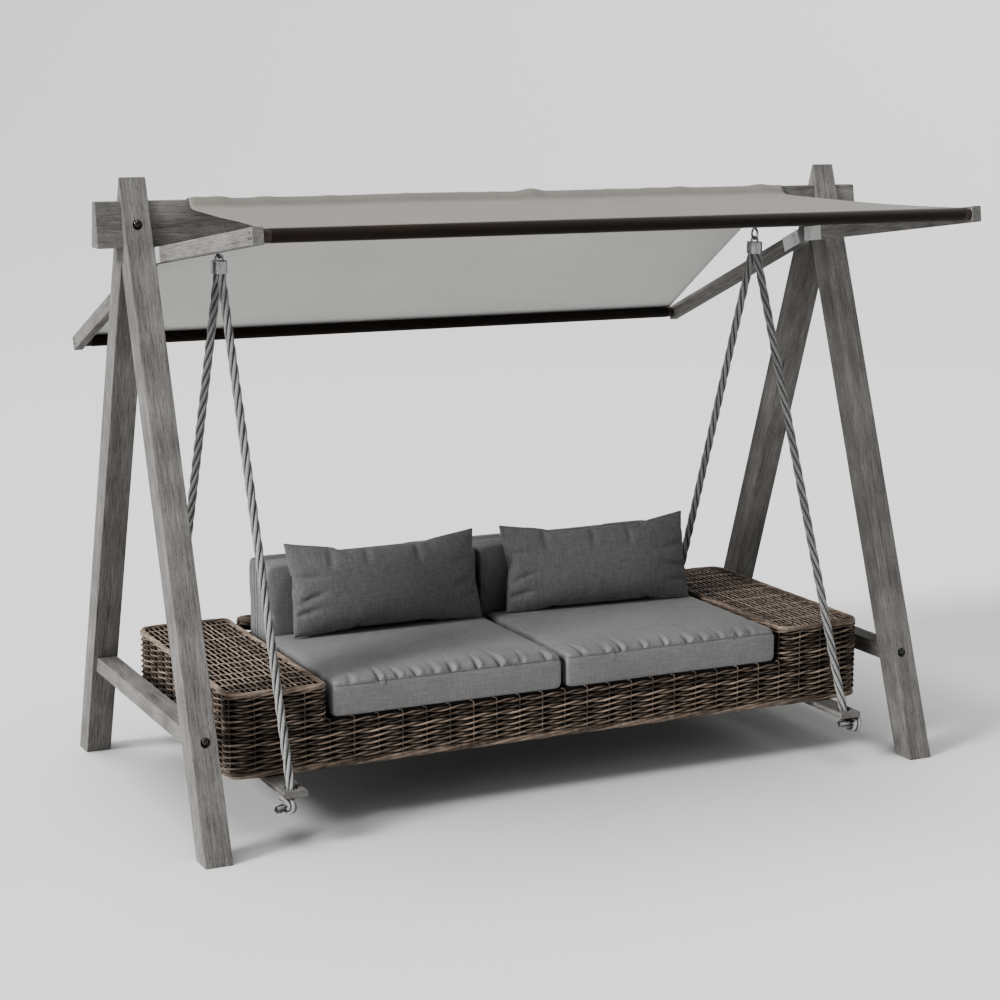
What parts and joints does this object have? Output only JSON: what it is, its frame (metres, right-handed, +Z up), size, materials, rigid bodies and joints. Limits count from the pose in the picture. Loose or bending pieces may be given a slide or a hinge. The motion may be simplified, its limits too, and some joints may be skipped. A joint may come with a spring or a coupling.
{
  "type": "garden swing",
  "caption": "Free-standing timber A-frame garden swing: a woven sofa with loose cushions hangs on ropes from a ridge beam under a fixed linen canopy.",
  "frame": {"origin": "on the ground, under the middle of the ridge beam, at the bottom centre of the box to within 20 mm", "axes": "+Z up, +X along the ridge to the right of someone who looks at the front, front towards -Y"},
  "size_m": [2.902, 2.0169, 2.095],
  "materials": {
    "timber": "weathered grey, matte",
    "shoe_steel": "galvanised",
    "fastener_steel": "dark, satin",
    "canopy_bar": "dark anodised",
    "canopy_linen": "greige linen, matte",
    "hanger_steel": "brushed",
    "rope": "twisted rope, matte",
    "wicker": "brown-grey weave",
    "tube_aluminium": "powder coated",
    "cushion_linen": "mid-grey linen",
    "pillow_linen": "mid-grey linen"
  },
  "bodies": {
    "frame": {"brace_barrel_nuts": "fastener_steel", "brace_bolts": "fastener_steel", "brace_left": "timber", "brace_right": "timber", "canopy_bar_front": "canopy_bar", "canopy_bar_rear": "canopy_bar", "canopy_bar_screws": "fastener_steel", "canopy_sheet": "canopy_linen", "eye_bolt_left": "hanger_steel", "eye_bolt_right": "hanger_steel", "leg_front_left": "timber", "leg_front_right": "timber", "leg_rear_left": "timber", "leg_rear_right": "timber", "nuts_and_washers": "fastener_steel", "rafter_front_left": "timber", "rafter_front_right": "timber", "rafter_rear_left": "timber", "rafter_rear_right": "timber", "rafter_shoe_bolts": "fastener_steel", "rafter_shoe_front_left": "shoe_steel", "rafter_shoe_front_right": "shoe_steel", "rafter_shoe_rear_left": "shoe_steel", "rafter_shoe_rear_right": "shoe_steel", "ridge_beam": "timber", "ridge_bolts": "fastener_steel"},
    "seat": {"arm_inner_panel_left": "wicker", "arm_inner_panel_right": "wicker", "arm_rim_left": "wicker", "arm_rim_right": "wicker", "arm_ring_left": "tube_aluminium", "arm_ring_right": "tube_aluminium", "arm_shell_left": "wicker", "arm_shell_right": "wicker", "arm_top_left": "wicker", "arm_top_right": "wicker", "back_cushion_left": "cushion_linen", "back_cushion_right": "cushion_linen", "back_panel": "wicker", "back_rail": "wicker", "carrier_slat_left": "timber", "carrier_slat_right": "timber", "deck_slats": "tube_aluminium", "hanger_cap_left": "hanger_steel", "hanger_cap_right": "hanger_steel", "pillow_left": "pillow_linen", "pillow_right": "pillow_linen", "rope_front_left": "rope", "rope_front_right": "rope", "rope_rear_left": "rope", "rope_rear_right": "rope", "seat_cushion_left": "cushion_linen", "seat_cushion_right": "cushion_linen", "slat_screws": "fastener_steel", "sofa_cross_tubes": "tube_aluminium", "sofa_posts": "tube_aluminium", "sofa_rails": "tube_aluminium", "wicker_band_front": "wicker", "wicker_band_rear": "wicker"}
  },
  "joints": [
    {"name": "swing", "type": "hinge", "parent": "frame", "child": "seat", "pos_m": [0, 0, 1.8353], "axis": [1, 0, 0], "range_deg": [-14, 14]}
  ]
}
